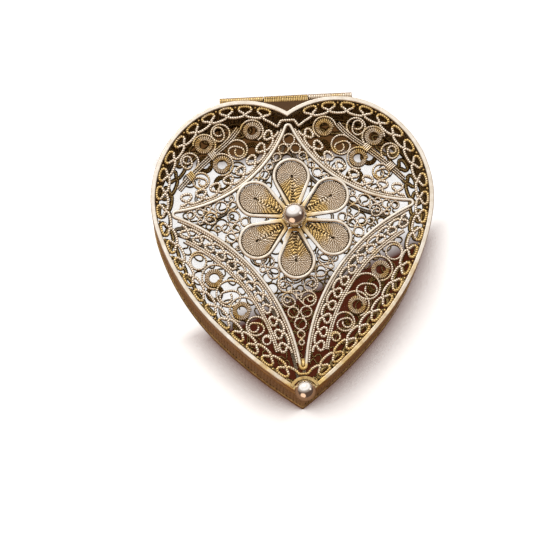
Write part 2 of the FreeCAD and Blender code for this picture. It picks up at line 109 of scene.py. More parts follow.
def breadth(outline):
    """Extent of an outline in X."""
    return np.ptp(outline[:, 0])


def circle_of(outline):
    """Centre and radius of a round outline."""
    centre = outline.mean(axis=0)
    return centre, np.linalg.norm(outline - centre, axis=1).mean()


def ring_places(node):
    """(centre, middle radius, width) of every flat ring in a node."""
    circles = [circle_of(outline) for outline in top_outlines(node)]
    rings = []
    for centre, radius in circles:
        inner = [r for c, r in circles if r < radius and math.dist(c, centre) < SAME_CENTRE]
        if inner:
            rings.append((centre, (radius + max(inner)) / 2, radius - max(inner)))
    return rings


def corner_sharpness(outline):
    """How sharply an outline turns at each of its points, in degrees."""
    before = outline - np.roll(outline, 1, axis=0)
    after = np.roll(outline, -1, axis=0) - outline
    cross = before[:, 0] * after[:, 1] - before[:, 1] * after[:, 0]
    return np.degrees(np.abs(np.arctan2(cross, (before * after).sum(1))))


def subdivided(points, step, closed=False):
    """A polyline with extra points, so that no stretch is longer than step."""
    ends = np.roll(points, -1, axis=0) if closed else points[1:]
    starts = points if closed else points[:-1]
    out = []
    for a, b in zip(starts, ends):
        parts = max(1, math.ceil(math.dist(a, b) / step))
        out += [a + (b - a) * k / parts for k in range(parts)]
    if not closed:
        out.append(points[-1])
    return np.array(out)


def zipped(left, right):
    """Rungs of a ribbon between two polylines that start and end together."""
    i = j = 0
    rungs = [(left[0], right[0])]
    while i < len(left) - 1 or j < len(right) - 1:
        if j == len(right) - 1:
            i += 1
        elif i == len(left) - 1:
            j += 1
        elif math.dist(left[i + 1], right[j]) < math.dist(left[i], right[j + 1]):
            i += 1
        else:
            j += 1
        rungs.append((left[i], right[j]))
    return np.array(rungs)


def length_of(points):
    """Length of a polyline."""
    return np.linalg.norm(np.diff(points, axis=0), axis=1).sum()


def strand_centres(node):
    """Centrelines of the open wires in a node, from their two long sides."""
    lines = []
    for outline in top_outlines(node):
        corners = np.where(corner_sharpness(outline) > SHARP_TURN)[0]
        if len(corners) != 4:
            raise RuntimeError(f"{node}: a wire with {len(corners)} corners")
        outline = np.roll(outline, -corners[0], axis=0)
        corners = corners - corners[0]
        sides = [outline[corners[k]:corners[k + 1] + 1] for k in range(3)]
        sides.append(np.vstack([outline[corners[3]:], outline[:1]]))
        sides.sort(key=length_of)
        left = subdivided(sides[2], SIDE_STEP)
        right = subdivided(sides[3][::-1], SIDE_STEP)
        lines.append(zipped(left, right).mean(axis=1))
    return lines


# ---------------------------------------------------------------- plan paths

WIRE_STEP = 0.03  # from point to point along a wire
SPIRAL_STEP = 0.05
SOFTENING = np.array([1, 2, 3, 4, 5, 4, 3, 2, 1]) / 25  # weights of a point's neighbours


def run_lengths(points):
    """Distance along a polyline at each of its points."""
    return np.concatenate([[0.0], np.cumsum(np.linalg.norm(np.diff(points, axis=0), axis=1))])


def points_at(path, along, spots):
    """Points of a plan path at some distances along it."""
    return np.stack([np.interp(spots, along, path[:, k]) for k in (0, 1)], 1)


def resampled(points, step):
    """Points at equal steps along a polyline."""
    along = run_lengths(points)
    count = max(2, round(along[-1] / step))
    return points_at(points, along, np.linspace(0, along[-1], count + 1))


def softened(points, reach):
    """A polyline with its bends rounded over a reach; its ends stay in place."""
    points = resampled(points, reach / 4)
    margin = len(SOFTENING) // 2
    before = 2 * points[0] - points[margin:0:-1]
    after = 2 * points[-1] - points[-2:-2 - margin:-1]
    padded = np.vstack([before, points, after])
    return np.stack([np.convolve(padded[:, k], SOFTENING, "valid") for k in (0, 1)], 1)


def side_vectors(path):
    """Unit vectors to the left of a plan path."""
    ahead = np.gradient(path, axis=0)
    ahead /= np.linalg.norm(ahead, axis=1)[:, None]
    return np.stack([-ahead[:, 1], ahead[:, 0]], 1)


def polar(centre, radii, angles):
    """Plan points round a centre."""
    return centre + np.reshape(radii, (-1, 1)) * np.stack([np.cos(angles), np.sin(angles)], 1)


def spiral(centre, outer, inner, turns):
    """Plan points of a spiral that winds inwards, and the turn count at each of them."""
    share = np.linspace(0, 1, math.ceil(math.pi * (outer + inner) * turns / SPIRAL_STEP) + 1)
    return polar(centre, outer + (inner - outer) * share, 2 * math.pi * turns * share), turns * share


def eased(share):
    """Smooth step from 0 to 1."""
    share = np.clip(share, 0, 1)
    return share * share * (3 - 2 * share)


# ---------------------------------------------------------------- mesh building

# Cross sections of wires, from the left side over the top to the right: (across, up), as
# shares of the half width and of the height.
WIRE_SECTION = np.array([(0.8, 0.0), (1.0, 0.5), (1.0, 0.80), (0.68, 0.95), (0.0, 1.0),
                         (-0.68, 0.95), (-1.0, 0.80), (-1.0, 0.5), (-0.8, 0.0)])
COIL_SECTION = np.array([(1.0, 0.0), (1.0, 0.88), (0.62, 0.97), (0.0, 1.0), (-0.62, 0.97),
                         (-1.0, 0.88), (-1.0, 0.0)])
FLOOR_SECTION = np.array([(0.8, 0.0), (1.0, 0.6), (0.55, 0.93), (-0.55, 0.93), (-1.0, 0.6),
                          (-0.8, 0.0)])
BEAD = 0.38  # from bead to bead
BEAD_DEPTH = 0.13  # of the gaps between beads
BEAD_PINCH = 0.16  # share of a wire's width that is lost in those gaps
FLANK_GILDING = 0.9  # how much more gilded a wire's foot is than its top
FOOT_SHADE_AND_GRIME = 0.75  # how dark its foot is: grime, and painted shade under the wire
EDGE_SHADE_AND_GRIME = 0.72  # how dark the two edges of its top are: grime, and painted shade where they turn away from the light
POLE = 0.02  # radius of the flat at the top of a ball, as a share of the radius


class Shape:
    """Collects vertices, faces and the two surface attributes of one piece."""

    def __init__(self):
        self.points = []
        self.faces = []
        self.gilding = []
        self.grime_and_shade = []
        self.total = 0

    def add(self, points, faces, gilding=0.0, grime_and_shade=0.0):
        """Add a block of vertices with faces that count from its own first vertex."""
        self.points.append(np.asarray(points, float).reshape(-1, 3))
        self.faces += [tuple(self.total + k for k in face) for face in faces]
        self.gilding.append(np.broadcast_to(gilding, len(self.points[-1])))
        self.grime_and_shade.append(np.broadcast_to(grime_and_shade, len(self.points[-1])))
        self.total += len(self.points[-1])

    def piece(self, name, body, slot, material, *nodes):
        """Make the object, let it ride on a body and stand for some CAD nodes."""
        mesh = bpy.data.meshes.new(name)
        mesh.from_pydata(np.vstack(self.points) * MM, [], self.faces)
        for label, values in (("gilding", self.gilding), ("grime_and_shade", self.grime_and_shade)):
            layer = mesh.attributes.new(label, "FLOAT", "POINT")
            layer.data.foreach_set("value", np.concatenate(values).astype(np.float32))
        mesh.shade_smooth()
        piece = bpy.data.objects.new(name, mesh)
        bpy.context.scene.collection.objects.link(piece)
        piece.data.materials.append(material)
        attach(piece, body)
        if nodes:
            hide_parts(*nodes)


def tube_faces(rows, columns):
    """Faces of a closed tube: quads between its rings, and a cap on each end."""
    faces = []
    for row in range(rows - 1):
        a = row * columns
        b = a + columns
        for c in range(columns):
            d = (c + 1) % columns
            faces.append((a + c, a + d, b + d, b + c))
    last = (rows - 1) * columns
    faces.append(tuple(range(columns))[::-1])
    faces.append(tuple(range(last, last + columns)))
    return faces


def beaded_wire(shape, path, low, high, width, tone, bead=BEAD, phase=None, per_bead=6,
                section=WIRE_SECTION, slant=0.22, gap=0.30, depth=BEAD_DEPTH,
                groove_shade_and_grime=1.0, edge_shade_and_grime=EDGE_SHADE_AND_GRIME):
    """A twisted wire rolled flat and set on edge: its top reads as a row of beads.

    path is a plan polyline. tone maps (x, y) to how gilded the wire's top is. phase, if given,
    counts the beads at each point of the path, and bead then only spaces the mesh. slant is how
    far the beads lean, in beads. A larger gap makes the grooves between them wider.
    """
    along = run_lengths(path)
    beads = max(1, round(along[-1] / bead))
    spots = np.linspace(0, along[-1], beads * per_bead + 1)
    line = points_at(path, along, spots)
    count = spots / along[-1] * beads if phase is None else np.interp(spots, along, phase)
    turn = count[:, None] + slant * section[None, :, 0]
    swell = np.abs(np.cos(math.pi * turn)) ** gap
    across = section[:, 0] * width / 2 * (1 - BEAD_PINCH * (1 - swell))
    up = low + (high - low) * section[:, 1] - depth * (1 - swell) * (section[:, 1] > 0.5)
    plan = line[:, None, :] + side_vectors(line)[:, None, :] * across[..., None]
    gilding = tone(plan[..., 0], plan[..., 1]) + FLANK_GILDING * (1 - section[:, 1])
    # Grime plus painted shade: darkest in the grooves between beads, on the top's edges and towards
    # the foot.
    edges = edge_shade_and_grime * (np.abs(section[:, 0]) > 0.99)
    grime_and_shade = groove_shade_and_grime * (1 - swell) + np.maximum(FOOT_SHADE_AND_GRIME * (1 - section[:, 1]), edges)
    shape.add(np.dstack([plan, up]), tube_faces(len(line), len(section)),
              np.clip(gilding, 0, 1).ravel(), np.clip(grime_and_shade, 0, 1).ravel())


def revolved(shape, centre, profile, segments, gilding=0.0):
    """A turned form: profile is (radius, height) from the bottom to the top."""
    angles = np.linspace(0, 2 * math.pi, segments, endpoint=False)
    rings = [np.column_stack([polar(centre, radius, angles), np.full(segments, level)])
             for radius, level in profile]
    shape.add(np.vstack(rings), tube_faces(len(rings), segments), gilding)


def ball_profile(middle, radius, low, count=40):
    """Profile of a ball cut flat at level low."""
    first = math.asin(max((low - middle) / radius, -0.99))
    return [(radius * math.cos(angle), middle + radius * math.sin(angle))
            for angle in np.linspace(first, math.acos(POLE), count)]


# ---------------------------------------------------------------- materials

SILVER = (0.97, 0.87, 0.75)
SILVER_SHADE = (0.76, 0.64, 0.50)
POLISHED_SILVER = (0.98, 0.91, 0.81)
POLISHED_SHADE = (0.78, 0.69, 0.57)
BALL_SILVER = (0.97, 0.94, 0.91)
BALL_SHADE = (0.90, 0.85, 0.81)
GOLD = (0.90, 0.66, 0.29)
GOLD_SHADE = (0.56, 0.35, 0.11)
# Dark grime and tarnish; on the wires the same colour also paints shade in grooves, on edges and at
# their feet.
GRIME_AND_SHADE = (0.045, 0.020, 0.008)
PATINA = (0.105, 0.052, 0.022)


class Tree:
    """A node material under construction. Lengths in it are metres."""

    def __init__(self, name):
        self.material = bpy.data.materials.new(name)
        self.material.use_nodes = True
        self.nodes = self.material.node_tree.nodes
        self.links = self.material.node_tree.links
        self.shader = self.nodes["Principled BSDF"]

    def feed(self, socket, value):
        """Give an input a value: an output of another node, a number or a colour."""
        if isinstance(value, bpy.types.NodeSocket):
            self.links.new(value, socket)
        elif isinstance(value, tuple):
            socket.default_value = (*value, 1.0)
        else:
            socket.default_value = value

    def node(self, kind, inputs=None, **settings):
        """A shader node with its settings and inputs filled in."""
        node = self.nodes.new(kind)
        for name, value in settings.items():
            setattr(node, name, value)
        for name, value in (inputs or {}).items():
            self.feed(node.inputs[name], value)
        return node

    def attribute(self, name):
        """A surface attribute of the mesh."""
        return self.node("ShaderNodeAttribute", attribute_name=name).outputs["Fac"]

    def place(self):
        """Where on the object a spot is."""
        return self.nodes.new("ShaderNodeTexCoord").outputs["Object"]

    def place_xy(self):
        """The first two coordinates of that place."""
        split = self.node("ShaderNodeSeparateXYZ", {"Vector": self.place()})
        return split.outputs["X"], split.outputs["Y"]

    def maths(self, operation, first, second, clamp=False):
        """Result of an operation on two values."""
        return self.node("ShaderNodeMath", {0: first, 1: second}, operation=operation,
                         use_clamp=clamp).outputs[0]

    def mix(self, share, first, second):
        """Colour between two colours."""
        return self.node("ShaderNodeMix", {0: share, 6: first, 7: second},
                         data_type="RGBA").outputs[2]

    def ramp(self, value, low, high, to_low=0.0, to_high=1.0):
        """Value mapped from one range to another and held inside it."""
        inputs = {"Value": value, "From Min": low, "From Max": high, "To Min": to_low,
                  "To Max": to_high}
        return self.node("ShaderNodeMapRange", inputs).outputs["Result"]

    def noise(self, scale, detail, stretch=None):
        """Noise over the object's own position, scale in cycles per metre."""
        place = self.place()
        if stretch:
            mapping = self.node("ShaderNodeMapping", {"Vector": place})
            mapping.inputs["Scale"].default_value = stretch
            place = mapping.outputs["Vector"]
        inputs = {"Vector": place, "Scale": scale, "Detail": detail, "Roughness": 0.55}
        return self.node("ShaderNodeTexNoise", inputs).outputs["Fac"]

    def openness(self, reach, samples):
        """How much of the sky within reach a spot sees: 1 in the open."""
        return self.node("ShaderNodeAmbientOcclusion", {"Distance": reach},
                         samples=samples).outputs["AO"]

    def hollow(self, reach):
        """How hollow a spot is: 0 in the open, 1 deep between wires."""
        return self.ramp(self.openness(reach, 4), 0.75, 0.1)

    def bump(self, height, strength, distance):
        """Bump the surface by a height."""
        inputs = {"Height": height, "Strength": strength, "Distance": distance}
        self.surface(normal=self.node("ShaderNodeBump", inputs).outputs["Normal"])

    def surface(self, **looks):
        """Feed the shader's inputs, named in lower case with underscores."""
        for name, value in looks.items():
            self.feed(self.shader.inputs[name.replace("_", " ").title()], value)


def wire_metal(name, shade_and_grime_depth):
    """Silver-gilt wire: gilding worn to silver; grime and painted shade between the beads, on the
    top's edges and at the foot.
    """
    tree = Tree(name)
    # Darkening from grime plus painted shade: the per-point mask and the ambient occlusion of
    # hollows.
    darkening = tree.maths("MAXIMUM", tree.attribute("grime_and_shade"), tree.hollow(0.55 * MM))
    rubbed = tree.ramp(tree.noise(1500.0, 3.0), 0.2, 0.7, 0.75, 1.1)
    darkening = tree.maths("MULTIPLY", darkening, rubbed)
    drift = tree.ramp(tree.noise(420.0, 4.0), 0.35, 0.65, -0.30, 0.30)
    gilded = tree.ramp(tree.maths("ADD", tree.attribute("gilding"), drift), 0.35, 0.75)
    sheltered = tree.ramp(darkening, 0.22, 0.50)
    gilded = tree.maths("MAXIMUM", gilded, sheltered)
    tint = tree.noise(2600.0, 2.0)
    silver = tree.mix(tree.ramp(tint, 0.3, 0.7), SILVER, SILVER_SHADE)
    gold = tree.mix(tree.ramp(tint, 0.35, 0.75), GOLD, GOLD_SHADE)
    darkening = tree.ramp(darkening, 0.24, 0.80, 0.0, shade_and_grime_depth)
    tree.surface(base_color=tree.mix(darkening, tree.mix(gilded, silver, gold), GRIME_AND_SHADE),
                 metallic=tree.ramp(darkening, 0.0, 1.0, 1.0, 0.35),
                 roughness=tree.ramp(tree.maths("ADD", darkening, tint), 0.3, 1.5, 0.26, 0.62))
    tree.bump(tree.noise(5200.0, 3.0), 0.35, 0.03 * MM)
    return tree.material


def gilt_towards_tip(tree, patches, full, gone, climb):
    """1 below the level full in Y, 0 above the level gone; both levels climb along X."""
    x, y = tree.place_xy()
    level = tree.maths("SUBTRACT", y, tree.maths("MULTIPLY", x, climb))
    slope = tree.ramp(level, full * MM, gone * MM, 1.0, 0.0)
    wander = tree.ramp(patches, 0.3, 0.7, -0.3, 0.3)
    return tree.ramp(tree.maths("ADD", slope, wander), 0.35, 0.75)


def gilt_round(tree, centre, full, gone):
    """1 within the distance full of a centre, 0 beyond the distance gone."""
    gap = tree.node("ShaderNodeVectorMath", {0: tree.place()}, operation="DISTANCE")
    gap.inputs[1].default_value = [value * MM for value in centre]
    return tree.ramp(gap.outputs["Value"], full * MM, gone * MM, 1.0, 0.0)


def smooth_metal(name, polish, bright, dull, below=None, near=None):
    """Plain silver: fine scratches, tarnish in hollows, gold where it is sheltered; on the rim that
    gold also paints a duller shade on the right side and at the tip.

    below holds the settings of gilt_towards_tip, and near those of gilt_round.
    """
    tree = Tree(name)
    tint = tree.noise(900.0, 4.0)
    silver = tree.mix(tree.ramp(tint, 0.25, 0.65), bright, dull)
    gold = tree.mix(tree.ramp(tint, 0.3, 0.7), GOLD, GOLD_SHADE)
    patches = tree.noise(260.0, 4.0)
    gilded = tree.ramp(patches, 0.60, 0.85, 0.0, 0.5)
    if below:
        gilded = tree.maths("MAXIMUM", gilded, gilt_towards_tip(tree, patches, *below))
    if near:
        gilded = tree.maths("MAXIMUM", gilded, gilt_round(tree, *near))
    tarnish = tree.ramp(tree.hollow(0.8 * MM), 0.2, 0.9, 0.0, 0.85)
    scratches = tree.noise(1400.0, 2.0, stretch=(1.0, 7.0, 1.0))
    scuffed = tree.ramp(scratches, 0.35, 0.7, 0.0, polish / 2)
    roughness = tree.maths("ADD", scuffed, tree.ramp(tint, 0.2, 0.8, polish, polish + 0.10))
    tree.surface(base_color=tree.mix(tarnish, tree.mix(gilded, silver, gold), GRIME_AND_SHADE),
                 metallic=1.0, roughness=roughness)
    height = tree.maths("ADD", scratches, tree.noise(6000.0, 2.0))
    tree.bump(height, 0.18 if polish > 0.15 else 0.05, 0.02 * MM)
    return tree.material


def gilt_metal(name, patina):
    """Aged gilding: brown patina, deepest in hollows, rubbed bright on worn edges."""
    tree = Tree(name)
    tint = tree.noise(700.0, 5.0)
    gold = tree.mix(tree.ramp(tint, 0.3, 0.7), GOLD, GOLD_SHADE)
    edges = tree.nodes.new("ShaderNodeNewGeometry").outputs["Pointiness"]
    metal = tree.mix(tree.ramp(edges, 0.52, 0.60, 0.0, 0.55), gold, SILVER)
    specks = tree.ramp(tree.noise(1800.0, 4.0), 0.45, 0.75, 0.0, 0.6)
    darkening = tree.maths("ADD", tree.hollow(1.0 * MM), specks)
    darkening = tree.ramp(darkening, 0.0, 1.0, patina, max(patina, 0.94))
    tree.surface(base_color=tree.mix(darkening, metal, PATINA),
                 metallic=tree.ramp(darkening, 0.0, 1.0, 1.0, 0.15),
                 roughness=tree.ramp(darkening, 0.0, 1.0, 0.30, 0.65))
    tree.shader.inputs["Specular IOR Level"].default_value = 0.08
    tree.bump(tree.noise(3800.0, 4.0), 0.3, 0.03 * MM)
    return tree.material


def middle_of(node):
    """Centre of a node's box in plan."""
    low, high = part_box(node)
    return (low.x + high.x) / 2 / MM, (low.y + high.y) / 2 / MM


LID_TOP = heights("lid_rim")[1]
FLOWER = middle_of("flower_ball")
STAR_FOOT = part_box("lid_star_frame")[0].y / MM
STAR_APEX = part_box("lid_star_frame")[1].y / MM

# Second number: how dark grime and painted shade get; the floor's wires lie in real shade and get
# less.
WIRE = wire_metal("silver_gilt_wire", 0.94)
FLOOR_WIRE = wire_metal("floor_wire", 0.60)
# On the rim, the gold towards the tip and the right side is partly gilding and partly painted shade
# for that side's duller look.
RIM = smooth_metal("rim_silver", 0.27, POLISHED_SILVER, POLISHED_SHADE, below=(-36.0, 1.0, 0.40))
PETAL_SILVER = smooth_metal("petal_silver", 0.28, POLISHED_SILVER, POLISHED_SHADE,
                            near=((*FLOWER, LID_TOP), 2.2, 4.6))
FRAME_SILVER = smooth_metal("frame_silver", 0.28, POLISHED_SILVER, POLISHED_SHADE,
                            below=(STAR_FOOT - 0.5, STAR_FOOT + 2.5, 0.0))
BALL = smooth_metal("ball_silver", 0.03, BALL_SILVER, BALL_SHADE)
GILT = gilt_metal("aged_gilt", 0.18)
RAIL_GILT = gilt_metal("rubbed_gilt", 0.0)
DARK_GILT = gilt_metal("dark_gilt", 0.45)
WALL_GILT = gilt_metal("wall_gilt", 0.12)
# Hinge plates: aged gilding under near-full patina, also painted dark as the shade under the hinge.
PLATE_PATINA_AND_SHADE = gilt_metal("plate_gilt_and_shade", 0.98)


# ---------------------------------------------------------------- wires

WIRE_WIDTH = min(width for _, _, width in ring_places("lid_upper_scrolls"))

# Widths of the beaded wires, as multiples of that width of the CAD's strips.
STEM_WIRE = 0.74  # bundled stems
THIN_WIRE = 0.78  # scrolls of the floor
FINE_WIRE = 0.95  # scrolls inside the lid's star
LOOSE_WIRE = 1.10  # scrolls of the lid's corners
THICK_WIRE = 1.50  # border and meanders
BROAD_WIRE = 2.30  # border of the floor, seen under the lid's

LOOP_SWELL = 1.28  # corner loops over their CAD rings, which keep clear of all else
STAR_LOOP_SWELL = 1.16
TAIL_SWEEP = 230  # degrees over which a tail swings in to its loop
RING_SWEEP = 358  # degrees wound by a ring without a curl in it
LOOP_SWEEP = 540  # by a loop with its tail
CURL_SWEEP = 720  # by a loop that winds on into a small ring
CURL_START = 300  # degrees after which it does so
CURL_EASE = 120  # degrees that the change takes
LINK_REACH = 0.95  # widest gap between two rings that a wire crosses
MOST_LINKS = 3  # wires that leave one ring
GROWTH_SPAN = 5  # points of a stem, to each side, that give its direction


def plain(level):
    """Tone that is the same everywhere."""
    return lambda x, y: np.full(np.shape(x), level)


def wires(node, paths, tone, fullness, **settings):
    """Beaded wires along some paths, as high as a CAD node."""
    low, high = heights(node)
    shape = Shape()
    for path in paths:
        beaded_wire(shape, path, low, high, WIRE_WIDTH * fullness, tone, **settings)
    return shape


def strands(node, tone, fullness, **settings):
    """Beaded wires in place of a node's flat strands."""
    paths = [resampled(softened(line, 0.12), WIRE_STEP) for line in strand_centres(node)]
    return wires(node, paths, tone, fullness, **settings)


def nested_rings(node, swell):
    """Outer rings of a node, each with the small ring inside it, or None."""
    rings = [(centre, radius * swell, width) for centre, radius, width in ring_places(node)]
    rings.sort(key=lambda ring: -ring[1])
    owner = {}
    for i, (centre, radius, _) in enumerate(rings):
        for j in range(i + 1, len(rings)):
            if math.dist(rings[j][0], centre) < radius - rings[j][1] / 2:
                owner[j] = i
    inner = {i: rings[j] for j, i in owner.items()}
    return [(ring, inner.get(i)) for i, ring in enumerate(rings) if i not in owner]


def curl(ring, small, tail, first, side, sweep):
    """Plan points of a wire that swings in from a stem and winds up in a ring.

    tail is how far from the ring's centre the wire starts, at the angle first; side is 1 to
    wind counterclockwise, and sweep is how many degrees it winds. With a small ring the wire
    winds on into one of that size, which lies against the far side of the loop.
    """
    centre, radius, _ = ring
    degrees = np.linspace(0, sweep, sweep)
    radii = radius + (tail - radius) * (1 - eased(degrees / TAIL_SWEEP)) ** 1.5
    if small:
        share = eased((degrees - CURL_START) / CURL_EASE)
        radii = radii + (small[1] - radius) * share
        shift = radius - small[1] - WIRE_WIDTH
        far = math.radians(first + 180)
        centre = centre + np.outer(shift * share, (math.cos(far), math.sin(far)))
    return polar(centre, radii, np.radians(first + side * degrees))


def nearest_line(lines, place):
    """The polyline that comes closest to a place."""
    return min(lines, key=lambda line: np.linalg.norm(line - place, axis=1).min())


def growth_at(line, place):
    """Nearest point of a stem to a place, and which way the stem grows there."""
    here = int(np.linalg.norm(line - place, axis=1).argmin())
    ahead = line[min(here + GROWTH_SPAN, len(line) - 1)] - line[max(here - GROWTH_SPAN, 0)]
    return line[here], ahead / np.linalg.norm(ahead)


def vine_path(stems, ring, small, reach, sweep):
    """A wire that leaves the nearest stem and winds round a ring."""
    centre, radius, _ = ring
    stem = nearest_line(stems, centre)
    foot, growth = growth_at(stem, centre)
    away = centre - foot
    side = 1 if growth[0] * away[1] - growth[1] * away[0] > 0 else -1
    tail = min(float(np.linalg.norm(away)), radius + reach)
    first = math.degrees(math.atan2(-away[1], -away[0]))
    return curl(ring, small, tail, first, side, sweep)


def vine_scrolls(node, stem, reach, tone):
    """Scrolls that grow out of a stem towards the heart's top, and a tail round each rosette."""
    stems = [line if line[0][1] < line[-1][1] else line[::-1] for line in strand_centres(stem)]
    stem_low = min(line[0][1] for line in stems)
    stem_high = max(line[-1][1] for line in stems)
    paths = [vine_path(stems, ring, small, reach, CURL_SWEEP if small else LOOP_SWEEP)
             for ring, small in nested_rings(node, LOOP_SWELL)]
    for centre, radius, width in ring_places("lid_rosettes"):
        if stem_low < centre[1] < stem_high:
            around = (centre, radius + (width + WIRE_WIDTH) / 2, width)
            paths.append(vine_path(stems, around, None, reach, TAIL_SWEEP))
    return wires(node, paths, tone, LOOSE_WIRE)


def crossing_line(first, second, turn):
    """The two ends of the straight line that touches two rings and passes between them."""
    (a, ra, _), (b, rb, _) = first, second
    start = math.atan2(b[1] - a[1], b[0] - a[0]) + turn * math.acos((ra + rb) / math.dist(a, b))
    out = np.array([math.cos(start), math.sin(start)])
    return np.array([a + ra * out, b - rb * out])


def linked_pairs(rings):
    """Pairs of neighbouring rings, the closest first, with few links for each ring."""
    gaps = []
    for i, (a, ra, _) in enumerate(rings):
        for j in range(i + 1, len(rings)):
            b, rb, _ = rings[j]
            gap = math.dist(a, b) - ra - rb
            if WIRE_WIDTH * 0.5 < gap < LINK_REACH:
                gaps.append((gap, i, j))
    links = {}
    for _, i, j in sorted(gaps):
        if max(len(links.get(i, [])), len(links.get(j, []))) < MOST_LINKS:
            links.setdefault(i, []).append(j)
            links.setdefault(j, []).append(i)
    return [(rings[i], rings[j]) for i in links for j in links[i] if i < j]


def scrolls(node, tone, fullness, **settings):
    """Curls in place of rings, and the wires that run from one curl to the next."""
    pairs = nested_rings(node, STAR_LOOP_SWELL)
    paths = []
    for ring, small in pairs:
        side = 1 if ring[0][0] < 0 else -1
        sweep = CURL_SWEEP if small else RING_SWEEP
        paths.append(curl(ring, small, ring[1], 90 - side * 90, side, sweep))
    for number, (one, other) in enumerate(linked_pairs([ring for ring, _ in pairs])):
        paths.append(crossing_line(one, other, 1 if number % 2 else -1))
    return wires(node, paths, tone, fullness, **settings)


# ---------------------------------------------------------------- rosettes

ROSETTE_TURNS = 3
ROSETTE_RIDGES = 26  # radial ridges of a rosette
ROSETTE_DEPTH = 0.24  # of the grooves between them
ROSETTE_STEP = 0.2  # along the wire, of six rows of points
RIDGE_GAP = 0.9  # wide grooves, so that the ridges read as rays
OVERLAP = 1.04  # width of a coil's wire over its pitch


def rosettes(node, tone):
    """Tight coils of ridged wire in place of flat discs: the ridges line up as rays."""
    low, high = heights(node)
    shape = Shape()
    for centre, radius, width in ring_places(node):
        pitch = width / ROSETTE_TURNS
        reach = (width - pitch) / 2
        path, turns = spiral(centre, radius + reach, radius - reach, ROSETTE_TURNS - 0.05)
        # Grooves between the ridges get grime and painted shade, so that the ridges read as rays.
        beaded_wire(shape, path, low, high, pitch * OVERLAP, tone, bead=ROSETTE_STEP,
                    phase=turns * ROSETTE_RIDGES, section=COIL_SECTION, gap=RIDGE_GAP,
                    depth=ROSETTE_DEPTH, groove_shade_and_grime=0.85, edge_shade_and_grime=0.25)
    return shape


# ---------------------------------------------------------------- border

RIM_STEP = 0.4  # from point to point on the rim's outline
RIM_OUTLINE = subdivided(max(top_outlines("lid_rim"), key=breadth), RIM_STEP, closed=True)
BLOCK = 64  # points of that outline that are looked at together
OUTER_LOOPS = 2.05  # from the rim's edge in to where the inner loops begin
WORN_ABOVE = -10.0  # in Y: above this the inner loops are all silver
GRAIN_RADIUS = 0.2
GRAIN_SPACING = 3.5  # widest gap between two loops that share a grain
LOOP_SPAN = 12  # a loop's top is nearer the rim than this many points to each side of it
SOLDER_REACH = 2.6  # up from the star's foot
SOLDER_DROP = 0.25  # from the top of the star's frame
ARCH_HALF_WIDTH = 1.1
ARCH_HALF_SPREAD = 1.76  # at its feet
ARCH_RISE = 0.55
BOW_HALF_WIDTH = 0.7
BOW_DROP = 0.6


def rim_distance(x, y):
    """Distance in from the rim's outer edge, for plan positions in arrays."""
    spots = np.stack([np.ravel(x), np.ravel(y)], 1)
    nearest = np.full(len(spots), np.inf)
    for start in range(0, len(RIM_OUTLINE), BLOCK):
        steps = spots[:, None, :] - RIM_OUTLINE[start:start + BLOCK]
        nearest = np.minimum(nearest, np.linalg.norm(steps, axis=2).min(axis=1))
    return nearest.reshape(np.shape(x))


def border_tone(x, y):
    """Outer loops stay gilded, inner loops are worn to silver, less so towards the tip."""
    outer = np.clip((OUTER_LOOPS - rim_distance(x, y)) / 0.6, 0, 1) * 0.85
    sheltered = np.clip((WORN_ABOVE - y) / 8, 0, 1) * 0.5
    return np.maximum(outer, sheltered)


def granules():
    """A small gold grain beside the rim between each two outer loops of the border."""
    low, high = heights("lid_border")
    profile = ball_profile(high - GRAIN_RADIUS, GRAIN_RADIUS, low, 7)
    shape = Shape()
    for line in strand_centres("lid_border"):
        inset = rim_distance(line[:, 0], line[:, 1])
        tops = [k for k in range(LOOP_SPAN, len(line) - LOOP_SPAN)
                if inset[k] == inset[k - LOOP_SPAN:k + LOOP_SPAN + 1].min()]
        for first, second in zip(tops, tops[1:]):
            if math.dist(line[first], line[second]) < GRAIN_SPACING:
                revolved(shape, (line[first] + line[second]) / 2, profile, 12, 0.9)
    return shape


def star_solder():
    """Solder that fills the narrow foot of the star."""
    low, high = heights("lid_star_frame")
    inner = min(top_outlines("lid_star_frame"), key=breadth)
    inner = np.roll(inner, -inner[:, 1].argmax(), axis=0)
    foot = inner[inner[:, 1] < inner[:, 1].min() + SOLDER_REACH]
    rings = [np.column_stack([foot, np.full(len(foot), level)])
             for level in (low, high - SOLDER_DROP)]
    shape = Shape()
    shape.add(np.vstack(rings), tube_faces(2, len(foot)), 1.0, 0.15)
    return shape


def border_joint(end, corners, level):
    """Wire that joins the border's two halves at one end: 0 by the tip, -1 by the hinge."""
    ends = [line[end] for line in strand_centres("lid_border")]
    left, right = sorted(ends, key=lambda place: place[0])
    path = resampled(softened(np.array([left, *corners, right]), 0.3), WIRE_STEP)
    return wires("lid_border", [path], plain(level), THICK_WIRE)


def apex_arch():
    """Wire that joins the border's halves over the star's apex."""
    corners = [(-ARCH_HALF_SPREAD, STAR_APEX - ARCH_RISE), (-ARCH_HALF_WIDTH, STAR_APEX + ARCH_RISE),
               (ARCH_HALF_WIDTH, STAR_APEX + ARCH_RISE), (ARCH_HALF_SPREAD, STAR_APEX - ARCH_RISE)]
    return border_joint(-1, corners, 0.2)


def foot_bow():
    """Gilded wire that joins them under the star's foot."""
    corners = [(-BOW_HALF_WIDTH, STAR_FOOT - BOW_DROP), (BOW_HALF_WIDTH, STAR_FOOT - BOW_DROP)]
    return border_joint(0, corners, 0.8)


# ---------------------------------------------------------------- pieces made of wire

COLLAR_PITCH = 0.30  # from turn to turn of a binding
COLLAR_REACH = 0.95  # share of the binding's length that the turns cover
COLLAR_LEAN = 0.3  # how far a turn leans to each side, over the pitch
COLLAR_DROP = 0.5  # below the binding's foot, to close round the stems
COLLAR_RISE = 0.03  # above its top
COLLAR_ROWS = 24


def add_wires(name, shape, *nodes):
    """Add a wire piece of the lid that stands for the given CAD nodes."""
    shape.piece(name, "lid", "silver_gilt_wire", WIRE, *nodes)


